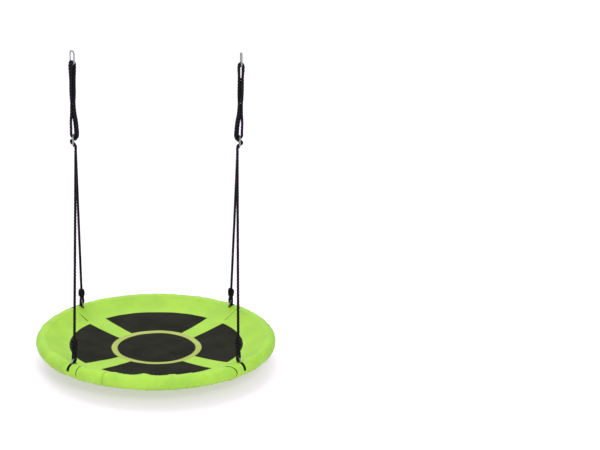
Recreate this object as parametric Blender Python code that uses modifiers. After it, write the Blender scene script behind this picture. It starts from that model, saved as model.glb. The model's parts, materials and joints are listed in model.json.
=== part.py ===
"""Saucer nest swing: a padded steel ring with a fabric seat, hung from two snap hooks on doubled ropes.

Metres, +Z up. The origin is the middle of the hang line, where the beam's two hooks bear on the snap
hooks. +X runs along the hang line, and the seat hangs below it at negative Z.
"""

import math

import bpy
import bmesh
from mathutils import Matrix, Vector

NAME = "saucer_nest_swing"

# Driving dimensions
SEAT_DIAMETER = 1.0
HANG_TO_SEAT = 1.219  # from the hang line down to the middle of the rim
ROPE_RADIUS = 0.0048
GAP = 0.0003  # between pieces that touch

# Rim: steel tube, foam sleeve and fabric cover, one inside the other
TUBE_RADIUS = 0.0125
TUBE_WALL = 0.0012
SWAGE_RADIUS = 0.0108  # a tube's reduced end, which slides into the next tube
FOAM_RADIUS = 0.0260
FOAM_WALL = 0.0120
COVER_RADIUS = 0.0285
COVER_WALL = 0.0020
RIM_RADIUS = SEAT_DIAMETER / 2 - COVER_RADIUS
RIM_Z = -HANG_TO_SEAT
RIM_STEPS = 48  # corners of the polygon that every rim piece follows
QUARTER = RIM_STEPS // 4
LUG_STEP = QUARTER // 2
SPLIT_STEP = 0.5  # a tube starts this many steps after each quarter
SWAGE_STEPS = 0.6
SHOULDER_STEPS = 0.05
SCREW_STEP = 0.25
SCREW_RADIUS = 0.0022
SCREW_HOLE = 0.0025
SEAM_STEPS = 0.7  # from each lug to the cover seam beside it
END_STEPS = 0.01  # between a sleeve's end and the seam that it stops at

# Lugs, welded on the tube and leaning inwards through slits in the foam and the cover
LUG_WIRE = 0.0030
LUG_ARCH = 0.0095
LUG_HEIGHT = 0.043  # from the tube's middle to the middle of the wire at the lug's crown
LUG_FOOT = 0.0112
LUG_LEAN = math.radians(13)
LUG_REACH = (RIM_RADIUS - LUG_HEIGHT * math.sin(LUG_LEAN)) / math.sqrt(2)
LUG_Z = RIM_Z + LUG_HEIGHT * math.cos(LUG_LEAN)
SLIT_WIDTH = 0.009
SLIT_IN = 0.0195
SLIT_OUT = 0.0270
SLIT_FLOOR = 0.0075
SLIT_TOP = 0.045

# Seat panel: a shallow dish with fabric patches sewn on it
PANEL_RADIUS = 0.4414
PANEL_WALL = 0.0020
PANEL_EDGE_DROP = 0.004  # how far the panel's edge lies below the rim's middle
PANEL_SAG = 0.040
PATCH_WALL = 0.0010
PATCH_LIFT = 0.0008
DISC_RADIUS = 0.165
BAND_RADIUS = 0.188
PATCH_RADIUS = 0.365
SPOKE_INNER_WIDTH = 0.070
SPOKE_OUTER_WIDTH = 0.090

# Snap hooks: the wire frame, its gate, and the gate's pin
HOOK_WIRE = 0.00325
HOOK_LENGTH = 0.062
HOOK_BOW = 0.01425  # radius of the wire's middle line round both ends
HOOK_YAW = {"left": math.radians(35), "right": math.radians(8)}
HOOK_TOP = HOOK_WIRE  # the wire's middle: its lower side is on the hang line
HOOK_BOTTOM = HOOK_TOP - HOOK_LENGTH + 2 * HOOK_WIRE
GATE_WIRE = 0.00275
GATE_PIN_Z = HOOK_BOTTOM + 0.0158
GATE_NOSE_GAP = 0.0010  # between the closed gate and the end of the frame's upper bow
GATE_TOP_Z = HOOK_TOP - HOOK_BOW - GATE_NOSE_GAP
GATE_FOOT = 0.0026  # the gate runs this far below its pin
GATE_SLOT = 0.0028
GATE_SLOT_RISE = 0.0045
TONGUE = (0.0020, 0.0050, 0.0080)  # thickness, width and length of the frame's flat end
TONGUE_TOP = 0.0022  # the tongue ends this far above the pin
PIN_RADIUS = 0.0010
PIN_HOLE = 0.0013
PIN_LENGTH = 0.0052

# The doubled rope over the snap hook, and the bend below it where the swing turns
BIGHT_OUT = 0.0086
BIGHT_SIDE = 0.00495
BIGHT_RISE = 0.0118
SWING_Z = -0.0640
SWING_GAP = 0.0050

# Adjuster ring, and the ropes woven through it
RING_Z = -0.362
RING_RADIUS = 0.0245
RING_WIRE = 0.0030
LEG_OUT = 0.0083
LEG_DROP = 0.0090
PITCH_Z = RING_Z + 0.044
PITCH_GAP = 0.0020
HITCH_SIDE = 0.0053
HITCH_OUT = 0.0085  # the ropes leave the ring this far inside its plane
SWAY_Z = RING_Z - 0.0455
SWAY_GAP = 0.0030
ROPE_TOP_GAP = 0.0045
HANG_REACH = LUG_REACH + HITCH_OUT

# A knot: an eye of rope through the lug, and the knot above it
EYE_ROPE = 0.0043
EYE_RADIUS = 0.0095
EYE_NECK = 0.0050  # half of the distance between the eye's legs where they enter the knot
EYE_WAIST = 0.00665
EYE_SPRING = 0.0080  # the eye's round end starts this far above the lug's crown
EYE_IN_KNOT = 0.0060
KNOT_START = 0.036
KNOT_END = 0.088
KNOT_RADIUS = 0.0135
KNOT_SHOULDER = math.radians(65)
KNOT_STEPS = 6

SIDES = {"left": -1, "right": 1}
ENDS = {"front": -1, "rear": 1}
CORNERS = ("rear_right", "rear_left", "front_left", "front_right")
EDGES = ("right", "rear", "left", "front")
SEAM_SIDES = (-1, 1, 1, -1)  # whether each corner's cover seam is before or after its lug

MATERIALS = {
    "green_fabric": ((0.36, 0.76, 0.07, 1), 0.75, 0.0),
    "dark_fabric": ((0.035, 0.033, 0.028, 1), 0.80, 0.0),
    "black_rope": ((0.010, 0.010, 0.011, 1), 0.60, 0.0),
    "foam": ((0.050, 0.050, 0.055, 1), 0.95, 0.0),
    "steel": ((0.620, 0.630, 0.640, 1), 0.30, 1.0),
}


# ---- scene, pieces and joints' axes


def clear_scene():
    for obj in list(bpy.data.objects):
        bpy.data.objects.remove(obj, do_unlink=True)


def make_collection(name):
    collection = bpy.data.collections.new(name)
    bpy.context.scene.collection.children.link(collection)
    return collection


def make_material(name):
    colour, roughness, metallic = MATERIALS[name]
    material = bpy.data.materials.new(name)
    material.use_nodes = True
    shader = material.node_tree.nodes["Principled BSDF"]
    shader.inputs["Base Color"].default_value = colour
    shader.inputs["Roughness"].default_value = roughness
    shader.inputs["Metallic"].default_value = metallic
    return material


def hang_on(obj, axis):
    """Parents an object to an axis and leaves it where it is."""
    if axis:
        obj.parent = axis
        obj.matrix_parent_inverse = Matrix.Translation(axis.location).inverted()


def make_axis(name, place, parent=None):
    """An empty on a joint's axis: the pieces that turn there are its children."""
    axis = bpy.data.objects.new(name, None)
    axis.empty_display_size = 0.04
    axis.location = place
    parts.objects.link(axis)
    hang_on(axis, parent)
    return axis


def make_piece(name, data, material, axis=None, matrix=None):
    piece = bpy.data.objects.new(name, data)
    if matrix:
        piece.matrix_world = matrix
    data.materials.append(materials[material])
    parts.objects.link(piece)
    hang_on(piece, axis)
    return piece


def make_cutter(name, data, matrix=None):
    cutter = bpy.data.objects.new(name, data)
    if matrix:
        cutter.matrix_world = matrix
    cutter.hide_render = True
    cutter.display_type = "WIRE"
    cutters.objects.link(cutter)
    return cutter


def combine(piece, other, operation):
    modifier = piece.modifiers.new(other.name, "BOOLEAN")
    modifier.operation = operation
    modifier.object = other


def thicken(piece, wall):
    """Makes an open surface a shell, with the wall on the side that its normals face away from."""
    solidify = piece.modifiers.new("wall", "SOLIDIFY")
    solidify.thickness = wall
    solidify.offset = -1
    solidify.use_even_offset = True


def turn_round(piece, steps):
    screw = piece.modifiers.new("turn", "SCREW")
    screw.steps = steps
    screw.render_steps = steps
    screw.use_merge_vertices = True
    screw.merge_threshold = 0.00005


# ---- shapes


def smooth_route(points, samples):
    """A Catmull-Rom curve through the points, with this many samples between each two."""
    points = [Vector(p) for p in points]
    points = [2 * points[0] - points[1], *points, 2 * points[-1] - points[-2]]
    route = []
    for a, b, c, d in zip(points, points[1:], points[2:], points[3:]):
        for k in range(samples):
            t = k / samples
            slope = (c - a) * t + (2 * a - 5 * b + 4 * c - d) * t**2 + (3 * b - a - 3 * c + d) * t**3
            route.append(b + slope / 2)
    return [*route, points[-2]]


def arc(centre, radius, start, end, steps):
    """Points of an arc in a plane, angles in degrees."""
    angles = [math.radians(start + (end - start) * k / steps) for k in range(steps + 1)]
    return [(centre[0] + radius * math.cos(a), centre[1] + radius * math.sin(a)) for a in angles]


def wire(name, points, radius, caps=True, swell=None):
    """A round wire, rope or tube along points, as a curve."""
    curve = bpy.data.curves.new(name, "CURVE")
    curve.dimensions = "3D"
    curve.twist_mode = "Z_UP"
    curve.bevel_depth = radius
    curve.bevel_resolution = 2
    curve.use_fill_caps = caps
    spline = curve.splines.new("POLY")
    spline.points.add(len(points) - 1)
    for index, point in enumerate(points):
        spline.points[index].co = (*point, 1)
        spline.points[index].radius = swell[index] if swell else 1
    spline.use_smooth = True
    return curve


def as_mesh(curve):
    """The curve's surface as a mesh, with its loose caps welded."""
    holder = bpy.data.objects.new(curve.name, curve)
    cutters.objects.link(holder)
    graph = bpy.context.evaluated_depsgraph_get()
    mesh = bpy.data.meshes.new_from_object(holder.evaluated_get(graph))
    bpy.data.objects.remove(holder)
    form = bmesh.new()
    form.from_mesh(mesh)
    bmesh.ops.remove_doubles(form, verts=form.verts, dist=1e-6)
    form.to_mesh(mesh)
    form.free()
    return mesh


def rod(name, radius, length, sides=12):
    """A cylinder along Z, centred on the origin."""
    form = bmesh.new()
    bmesh.ops.create_cone(
        form, cap_ends=True, segments=sides, radius1=radius, radius2=radius, depth=length
    )
    return finished(name, form)


def block(name, size):
    form = bmesh.new()
    bmesh.ops.create_cube(form, size=1)
    bmesh.ops.scale(form, vec=size, verts=form.verts)
    return finished(name, form)


def finished(name, form):
    mesh = bpy.data.meshes.new(name)
    form.to_mesh(mesh)
    form.free()
    return mesh


def profile(name, points):
    """An open outline in the XZ plane, for turn_round."""
    mesh = bpy.data.meshes.new(name)
    corners = [(x, 0, z) for x, z in points]
    mesh.from_pydata(corners, [(k, k + 1) for k in range(len(corners) - 1)], [])
    return mesh


# ---- rim


def rim_spot(step):
    """The point on the rim's middle line at this step, which may lie between two corners."""
    corner = math.floor(step)
    ends = []
    for k in (corner, corner + 1):
        angle = math.tau * k / RIM_STEPS
        ends.append(Vector((RIM_RADIUS * math.cos(angle), RIM_RADIUS * math.sin(angle), RIM_Z)))
    return ends[0].lerp(ends[1], step - corner)


def rim_steps(start, end):
    return [start, *range(math.floor(start) + 1, math.ceil(end)), end]


def rim_sleeve(name, start, end, radius, wall, material):
    """A hollow sleeve along the rim."""
    points = [rim_spot(step) for step in rim_steps(start + END_STEPS, end - END_STEPS)]
    sleeve = make_piece(name, as_mesh(wire(name, points, radius, caps=False)), material, seat)
    thicken(sleeve, wall)
    return sleeve


def rim_tube(name, start):
    """A quarter of the steel tube, with a reduced end that goes on into the next quarter."""
    end = start + QUARTER - 2 * GAP / (math.tau * RIM_RADIUS / RIM_STEPS)
    tip = end + SWAGE_STEPS
    full = rim_steps(start, end - SHOULDER_STEPS)
    reduced = rim_steps(end, tip)
    points = [rim_spot(step) for step in (*full, *reduced)]
    swell = [1] * len(full) + [SWAGE_RADIUS / TUBE_RADIUS] * len(reduced)
    mesh = as_mesh(wire(name, points, TUBE_RADIUS, caps=False, swell=swell))
    tube = make_piece(name, mesh, "steel", seat)
    thicken(tube, TUBE_WALL)
    return tube


def lug_frame(corner):
    """Local X outwards from the seat's middle, Y along the rim, Z up, at the tube's middle."""
    step = LUG_STEP + corner * QUARTER
    angle = math.tau * step / RIM_STEPS
    return Matrix.Translation(rim_spot(step)) @ Matrix.Rotation(angle, 4, "Z")


def make_lug(name, corner):
    arch = arc((0, LUG_HEIGHT - LUG_ARCH), LUG_ARCH, 180, 0, 8)
    outline = [(-LUG_ARCH, LUG_FOOT), *arch, (LUG_ARCH, LUG_FOOT)]
    frame = lug_frame(corner) @ Matrix.Rotation(-LUG_LEAN, 4, "Y")
    points = [frame @ Vector((x, 0, z)) for x, z in outline]
    make_piece(name, wire(name, points, LUG_WIRE), "steel", seat)


def make_slit(corner):
    """The cutter for the slit that a lug stands in."""
    size = (SLIT_IN + SLIT_OUT, SLIT_WIDTH, SLIT_TOP - SLIT_FLOOR)
    middle = Vector(((SLIT_OUT - SLIT_IN) / 2, 0, (SLIT_TOP + SLIT_FLOOR) / 2))
    name = CORNERS[corner] + "_slit"
    return make_cutter(name, block(name, size), lug_frame(corner) @ Matrix.Translation(middle))


def make_rim():
    tubes = [rim_tube(f"{CORNERS[k]}_tube", SPLIT_STEP + k * QUARTER) for k in range(4)]
    slits = [make_slit(corner) for corner in range(4)]
    for corner, name in enumerate(CORNERS):
        start = SPLIT_STEP + corner * QUARTER
        foam = rim_sleeve(f"{name}_foam", start, start + QUARTER, FOAM_RADIUS, FOAM_WALL, "foam")
        combine(foam, slits[corner], "DIFFERENCE")
        make_cover(corner, slits)
        make_lug(f"{name}_lug", corner)
        make_tube_screw(corner, tubes[corner - 1], tubes[corner])


def make_cover(corner, slits):
    """The section of the cover from the seam at this corner to the seam at the next one."""
    lugs = [LUG_STEP + k * QUARTER for k in (corner, corner + 1)]
    sides = [SEAM_SIDES[corner], SEAM_SIDES[(corner + 1) % 4]]
    start, end = [lug + side * SEAM_STEPS for lug, side in zip(lugs, sides)]
    name = EDGES[(corner + 1) % 4] + "_cover"
    cover = rim_sleeve(name, start, end, COVER_RADIUS, COVER_WALL, "green_fabric")
    if sides[0] < 0:
        combine(cover, slits[corner], "DIFFERENCE")
    if sides[1] > 0:
        combine(cover, slits[(corner + 1) % 4], "DIFFERENCE")


def make_tube_screw(corner, inner_tube, outer_tube):
    """The screw that locks a tube's reduced end in the next tube, from below."""
    name = f"{EDGES[corner]}_tube_screw"
    place = rim_spot(SPLIT_STEP + SCREW_STEP + corner * QUARTER)
    drop = Vector((0, 0, -TUBE_RADIUS / 2))
    hole_rod = rod("screw_hole", SCREW_HOLE, 2 * TUBE_RADIUS)
    hole = make_cutter(name + "_hole", hole_rod, Matrix.Translation(place + 2 * drop))
    combine(inner_tube, hole, "DIFFERENCE")
    combine(outer_tube, hole, "DIFFERENCE")
    screw = rod(name, SCREW_RADIUS, TUBE_RADIUS - 4 * GAP)
    make_piece(name, screw, "steel", seat, Matrix.Translation(place + drop))


# ---- seat panel


def dish_height(radius):
    return RIM_Z - PANEL_EDGE_DROP - PANEL_SAG * (1 - (radius / PANEL_RADIUS) ** 2)


def make_dish(name, radius, rings, steps, lift, wall, material):
    """A round dished sheet, turned about the seat's middle."""
    radii = [radius * k / rings for k in range(rings + 1)]
    outline = profile(name, [(r, dish_height(r) + lift) for r in radii])
    dish = make_piece(name, outline, material, seat)
    turn_round(dish, steps)
    thicken(dish, wall)


def spoke_width(radius):
    """The green spokes between the patches widen outwards."""
    share = (radius - BAND_RADIUS) / (PATCH_RADIUS - BAND_RADIUS)
    return SPOKE_INNER_WIDTH + share * (SPOKE_OUTER_WIDTH - SPOKE_INNER_WIDTH)


def make_patch(name, middle):
    """A sector between two spokes, from the middle band to the outer edge."""
    rings, steps = 4, 8
    form = bmesh.new()
    rows = []
    for i in range(rings + 1):
        radius = BAND_RADIUS + (PATCH_RADIUS - BAND_RADIUS) * i / rings
        half = math.pi / 4 - math.asin(spoke_width(radius) / 2 / radius)
        height = dish_height(radius) + PATCH_LIFT + PATCH_WALL
        row = []
        for j in range(steps + 1):
            angle = middle + half * (2 * j / steps - 1)
            row.append(form.verts.new((radius * math.cos(angle), radius * math.sin(angle), height)))
        rows.append(row)
    for low, high in zip(rows, rows[1:]):
        for j in range(steps):
            form.faces.new((low[j], high[j], high[j + 1], low[j + 1]))
    patch = make_piece(name, finished(name, form), "dark_fabric", seat)
    thicken(patch, PATCH_WALL)


def make_seat_panel():
    make_dish(
        "seat_panel",
        PANEL_RADIUS,
        rings=6,
        steps=32,
        lift=0,
        wall=PANEL_WALL,
        material="green_fabric",
    )
    make_dish(
        "centre_patch",
        DISC_RADIUS,
        rings=3,
        steps=24,
        lift=PATCH_LIFT + PATCH_WALL,
        wall=PATCH_WALL,
        material="dark_fabric",
    )
    for index, edge in enumerate(EDGES):
        make_patch(f"{edge}_patch", index * math.pi / 2)


# ---- snap hooks


def hook_frame(side):
    """Local X across the hook's plane, Y in it, Z up, on the hang line."""
    place = Vector((SIDES[side] * HANG_REACH, 0, 0))
    return Matrix.Translation(place) @ Matrix.Rotation(HOOK_YAW[side], 4, "Z")


def make_hook(side):
    """The bent wire with its flat tongue, the gate that turns on it, and the pin through both."""
    frame = hook_frame(side)
    lower = arc((0, HOOK_BOTTOM + HOOK_BOW), HOOK_BOW, -10, -180, 9)
    upper = arc((0, HOOK_TOP - HOOK_BOW), HOOK_BOW, 180, 0, 9)
    start = (HOOK_BOW, GATE_PIN_Z - GATE_FOOT - 5 * GAP)
    outline = [start, *lower[1:], *upper]
    name = f"{side}_hook"
    bent_wire = wire(name, [(0, y, z) for y, z in outline], HOOK_WIRE)
    bent = make_piece(name, as_mesh(bent_wire), "steel", None, frame)
    pin_place = frame @ Matrix.Translation((0, HOOK_BOW, GATE_PIN_Z))
    pin_place = pin_place @ Matrix.Rotation(math.pi / 2, 4, "Y")
    pin_hole = make_cutter(f"{side}_pin_hole", rod("pin_hole", PIN_HOLE, 4 * GATE_WIRE), pin_place)
    tongue_z = GATE_PIN_Z + TONGUE_TOP - TONGUE[2] / 2
    tongue_place = frame @ Matrix.Translation((0, HOOK_BOW, tongue_z))
    tongue = make_cutter(f"{side}_tongue", block("tongue", TONGUE), tongue_place)
    combine(bent, tongue, "UNION")
    combine(bent, pin_hole, "DIFFERENCE")
    pin = rod("gate_pin", PIN_RADIUS, PIN_LENGTH)
    make_piece(f"{side}_gate_pin", pin, "steel", None, pin_place)

    gate_axis = make_axis(f"{side}_gate_axis", pin_place.translation)
    bottom = GATE_PIN_Z - GATE_FOOT
    length = GATE_TOP_Z - bottom
    gate_place = frame @ Matrix.Translation((0, HOOK_BOW, bottom + length / 2))
    gate_rod = rod("gate", GATE_WIRE, length)
    gate = make_piece(f"{side}_gate", gate_rod, "steel", gate_axis, gate_place)
    slot_rise = GATE_FOOT + GATE_SLOT_RISE
    slot_place = frame @ Matrix.Translation((0, HOOK_BOW, bottom + (slot_rise - GATE_WIRE) / 2))
    slot_size = (GATE_SLOT, 4 * GATE_WIRE, slot_rise + GATE_WIRE)
    slot = make_cutter(f"{side}_gate_slot", block("gate_slot", slot_size), slot_place)
    combine(gate, slot, "DIFFERENCE")
    combine(gate, pin_hole, "DIFFERENCE")


# ---- ropes from the snap hook to the adjuster ring


def make_rope(name, points, axis, radius=ROPE_RADIUS):
    make_piece(name, wire(name, points, radius), "black_rope", axis)


def make_top_bight(side, end):
    """The rope's turn over the snap hook's lower bow, beside its twin."""
    across = ENDS[end] * BIGHT_SIDE
    foot = (BIGHT_OUT, SWING_Z + SWING_GAP)
    half_circle = arc((0, 0), BIGHT_OUT, 0, 180, 10)
    turn = [(x, HOOK_BOTTOM + z * BIGHT_RISE / BIGHT_OUT) for x, z in half_circle]
    outline = [foot, *turn, (-foot[0], foot[1])]
    frame = hook_frame(side)
    make_rope(f"{side}_{end}_bight", [frame @ Vector((x, across, z)) for x, z in outline], None)


# Each strand's route: distance outwards from the ring's plane, distance rearwards, height
STRAND_ROUTES = {
    ("inner", "front"): (
        (-0.0060, -0.0054, -0.118),
        (-0.0053, -0.0053, -0.165),
        (-0.0056, -0.0053, -0.215),
        (-0.0095, -0.0054, -0.250),
        (-0.0150, -0.0053, -0.283),
        (-0.0170, -0.0053, PITCH_Z + PITCH_GAP),
    ),
    ("outer", "front"): (
        (0.0060, -0.0054, -0.118),
        (0.0053, -0.0053, -0.165),
        (0.0056, -0.0053, -0.215),
        (0.0100, -0.0045, -0.250),
        (0.0115, -0.0020, -0.283),
        (LEG_OUT, 0.0, PITCH_Z + PITCH_GAP),
    ),
    ("outer", "rear"): (
        (0.0060, 0.0054, -0.118),
        (0.0053, 0.0053, -0.165),
        (0.0050, 0.0056, -0.215),
        (0.0015, 0.0056, -0.250),
        (-0.0045, 0.0030, -0.283),
        (-LEG_OUT, 0.0, PITCH_Z + PITCH_GAP),
    ),
    ("inner", "rear"): (
        (-0.0060, 0.0054, -0.118),
        (-0.0053, 0.0053, -0.165),
        (-0.0058, 0.0053, -0.215),
        (-0.0098, 0.0056, -0.250),
        (-0.0150, 0.0060, -0.283),
        (-0.0170, 0.0053, PITCH_Z + PITCH_GAP),
    ),
}


def make_strand(side, face, end):
    """One of the four runs between the snap hook and the adjuster ring."""
    sign = SIDES[side]
    outwards = 1 if face == "outer" else -1
    top = hook_frame(side) @ Vector(
        (sign * outwards * BIGHT_OUT, ENDS[end] * BIGHT_SIDE, SWING_Z - SWING_GAP)
    )
    route = [(sign * (HANG_REACH + out), y, z) for out, y, z in STRAND_ROUTES[face, end]]
    make_rope(f"{side}_{face}_{end}_strand", smooth_route([top, *route], 2), swing)


# The ropes' weave through the adjuster ring: distance outwards from its plane, height above its middle
HITCH_ROUTE = (
    (-HITCH_OUT, SWAY_Z + SWAY_GAP - RING_Z),
    (-0.0090, -0.0300),
    (-0.0066, -0.0190),
    (0.0020, -0.0115),
    (0.0092, -0.0050),
    (0.0060, 0.0005),
    (-0.0010, 0.0040),
    (-0.0100, 0.0085),
    (-0.0165, 0.0170),
    (-0.0180, 0.0290),
    (-0.0170, PITCH_Z - PITCH_GAP - RING_Z),
)


def make_adjuster(side):
    """The steel ring, the rope's bight under its top, and the two ropes woven through it."""
    sign = SIDES[side]
    middle = Vector((sign * HANG_REACH, 0, RING_Z))
    bpy.ops.mesh.primitive_torus_add(
        major_radius=RING_RADIUS,
        minor_radius=RING_WIRE,
        major_segments=20,
        minor_segments=6,
        location=middle,
        rotation=(0, math.pi / 2, 0),
    )
    ring = bpy.context.object
    ring.name = f"{side}_adjuster_ring"
    for collection in list(ring.users_collection):
        collection.objects.unlink(ring)
    parts.objects.link(ring)
    ring.data.materials.append(materials["steel"])
    ring.data.shade_smooth()
    hang_on(ring, pitch)

    crown = RING_Z + RING_RADIUS
    half_circle = arc((0, 0), LEG_OUT, 0, -180, 10)
    turn = [(x, crown + z * LEG_DROP / LEG_OUT) for x, z in half_circle]
    outline = [(LEG_OUT, PITCH_Z - PITCH_GAP), *turn, (-LEG_OUT, PITCH_Z - PITCH_GAP)]
    make_rope(f"{side}_ring_bight", [Vector((middle.x + x, 0, z)) for x, z in outline], pitch)
    for end, way in ENDS.items():
        route = [middle + Vector((sign * out, way * HITCH_SIDE, z)) for out, z in HITCH_ROUTE]
        make_rope(f"{side}_{end}_hitch", smooth_route(route, 2), pitch)


# ---- ropes from the adjuster ring to the seat


def make_lower_rope(side, end, axis):
    """The straight rope, and the knotted eye that joins it to its lug."""
    sign, way = SIDES[side], ENDS[end]
    lug = Vector((sign * LUG_REACH, way * LUG_REACH, LUG_Z))
    top = Vector((sign * LUG_REACH, way * HITCH_SIDE, SWAY_Z))
    along = (top - lug).normalized()
    outwards = Vector((sign, way, 0)).normalized()
    aside = outwards.cross(along).normalized()
    start = lug + along * (KNOT_END + GAP)
    make_rope(f"{end}_{side}_rope", [start, top - along * ROPE_TOP_GAP], axis)

    middle, half = (KNOT_START + KNOT_END) / 2, (KNOT_END - KNOT_START) / 2
    barrel = []
    for k in range(KNOT_STEPS + 1):
        angle = KNOT_SHOULDER * (1 - 2 * k / KNOT_STEPS)
        rise = half * math.sin(angle) / math.sin(KNOT_SHOULDER)
        barrel.append((KNOT_RADIUS * math.cos(angle), middle + rise))
    outline = [(0, KNOT_END), *barrel, (0, KNOT_START)]
    frame = Matrix((aside, along.cross(aside), along)).transposed().to_4x4()
    frame.translation = lug
    name = f"{end}_{side}_knot"
    knot = make_piece(name, profile(name, outline), "black_rope", axis, frame)
    turn_round(knot, 12)
    leg = [
        (EYE_NECK, KNOT_START + EYE_IN_KNOT),
        (EYE_WAIST, (KNOT_START + EYE_SPRING) / 2),
        (EYE_RADIUS, EYE_SPRING),
    ]
    loop = [*leg, *arc((0, 0), EYE_RADIUS, 0, -180, 8), *[(-x, z) for x, z in reversed(leg)]]
    eye_name = f"{end}_{side}_eye"
    eye_wire = wire(eye_name, [(x, 0, z) for x, z in loop], EYE_ROPE)
    combine(knot, make_cutter(eye_name, as_mesh(eye_wire), frame), "UNION")


def smooth_round_pieces():
    for piece in parts.objects:
        if piece.type == "MESH":
            piece.data.shade_smooth()
            piece.data.set_sharp_from_angle(angle=math.radians(40))


clear_scene()
parts = make_collection(NAME)
cutters = make_collection(NAME + "_cutters")
materials = {name: make_material(name) for name in MATERIALS}

swing = make_axis("swing_axis", (0, 0, SWING_Z))
pitch = make_axis("seat_pitch_axis", (0, 0, PITCH_Z), swing)
sway = {}
for side, sign in SIDES.items():
    sway[side] = make_axis(f"sway_{side}_axis", (sign * LUG_REACH, 0, SWAY_Z), pitch)
seat = make_axis("seat_level_axis", (-LUG_REACH, 0, LUG_Z), sway["left"])

make_rim()
make_seat_panel()
for side in SIDES:
    make_hook(side)
    make_adjuster(side)
    for end in ENDS:
        make_top_bight(side, end)
        make_strand(side, "inner", end)
        make_strand(side, "outer", end)
        make_lower_rope(side, end, sway[side])
smooth_round_pieces()
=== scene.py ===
"""The looks of the saucer nest swing: cloth, laid rope, knots and bent steel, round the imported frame."""

import bmesh
import bpy
import json
from math import asin, atan2, ceil, cos, degrees, exp, hypot, pi, radians, sin, sqrt, tan, tau
from mathutils import Matrix, Vector, noise


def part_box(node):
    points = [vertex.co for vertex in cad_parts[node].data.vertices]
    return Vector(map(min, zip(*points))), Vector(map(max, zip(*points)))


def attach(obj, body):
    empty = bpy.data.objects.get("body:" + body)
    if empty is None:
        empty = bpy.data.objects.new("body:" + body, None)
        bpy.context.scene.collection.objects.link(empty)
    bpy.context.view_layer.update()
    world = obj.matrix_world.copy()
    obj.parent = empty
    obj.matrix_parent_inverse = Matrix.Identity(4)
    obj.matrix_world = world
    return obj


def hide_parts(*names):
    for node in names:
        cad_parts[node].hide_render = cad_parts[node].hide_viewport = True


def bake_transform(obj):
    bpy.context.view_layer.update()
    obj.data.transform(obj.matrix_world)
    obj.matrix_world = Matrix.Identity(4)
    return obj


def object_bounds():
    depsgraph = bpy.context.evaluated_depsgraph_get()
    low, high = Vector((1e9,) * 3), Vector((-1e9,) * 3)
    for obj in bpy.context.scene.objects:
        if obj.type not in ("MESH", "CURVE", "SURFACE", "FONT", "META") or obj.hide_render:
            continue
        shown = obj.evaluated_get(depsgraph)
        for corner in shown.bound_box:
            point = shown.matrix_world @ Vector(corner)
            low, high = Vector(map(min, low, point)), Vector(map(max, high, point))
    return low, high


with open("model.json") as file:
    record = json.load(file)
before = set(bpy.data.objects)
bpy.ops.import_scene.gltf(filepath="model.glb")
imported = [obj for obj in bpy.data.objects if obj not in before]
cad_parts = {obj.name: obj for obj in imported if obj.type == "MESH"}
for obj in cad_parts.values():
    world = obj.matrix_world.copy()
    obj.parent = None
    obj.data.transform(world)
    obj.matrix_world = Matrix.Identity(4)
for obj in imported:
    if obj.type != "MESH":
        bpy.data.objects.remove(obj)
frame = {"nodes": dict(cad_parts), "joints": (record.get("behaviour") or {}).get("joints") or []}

cad_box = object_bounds()


def joint_place(name):
    return Vector(next(joint["pos_m"] for joint in frame["joints"] if joint["name"] == name))


def box_middle(node):
    low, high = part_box(node)
    return (low + high) / 2


# The frame's own sizes, in metres
SWING_Z = joint_place("swing").z
SWAY_Z = joint_place("sway_left").z
LUG_REACH = -joint_place("seat_level").x
LUG_Z = joint_place("seat_level").z
HANG_REACH = box_middle("right_adjuster_ring").x
RING_Z = box_middle("right_adjuster_ring").z
RIM_Z = box_middle("rear_cover").z
SEAT_RADIUS = (cad_box[1].x - cad_box[0].x) / 2

SIDES = {"left": -1, "right": 1}
ENDS = {"front": -1, "rear": 1}
CORNERS = {"rear_right": 45, "rear_left": 135, "front_left": 225, "front_right": 315}
EDGES = {"right": 0, "rear": 90, "left": 180, "front": 270}

# Rim and cover
COVER_RADIUS = 0.0285
RIM_RADIUS = SEAT_RADIUS - COVER_RADIUS
FOAM_RADIUS = 0.0260
CLOTH = 0.0012  # thickness of the cover's cloth
COVER_STEP = 0.75  # degrees between the points of the sleeve's cloth
COVER_SIDES = 40
SLEEVE_SLACK = 0.05  # how much too large the sleeve is cut
SETTLE_FRAMES = 26
SLEEVE_CLOTH = {
    "quality": 5, "mass": 0.25, "tension_stiffness": 20, "compression_stiffness": 20, "shear_stiffness": 6,
    "bending_stiffness": 1.5, "tension_damping": 15, "compression_damping": 15, "air_damping": 4,
}
SEAMS = {"rear": 39.75, "left": 140.25, "front": 230.25, "right": 309.75}  # where each section starts
SEAM_TAPES = {"rear": 0.0010, "left": 0.0021, "front": 0.0021, "right": 0.0028}  # half of each tape's width
SEAM_LEANS = {"rear": 0, "left": 0, "front": 0, "right": 3.0}  # degrees that a seam leans forward by
JOIN_TURN = 117  # the panel runs on to the rim's cover this far round from the outside, in degrees

# Seat panel
PANEL_RADIUS = 0.4414
PANEL_EDGE_DROP = 0.004
PANEL_SAG = 0.042
FILLET_START = 0.370  # from here outwards the panel rises to its seam on the rim
DISC_RADIUS = 0.165
BAND_RADIUS = 0.188
PATCH_RADIUS = 0.364
SPOKE_INNER_WIDTH = 0.070
SPOKE_OUTER_WIDTH = 0.090
PATCH_LIFT = 0.0010
TAPE_START = 0.387  # from here outwards a seam's tape runs on the panel
STITCH_PITCH = 0.0042
STITCH_LENGTH = 0.0030
STITCH_RADIUS = 0.00034
STITCH_INSET = 0.0035  # from a patch's edge to its stitches

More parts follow.
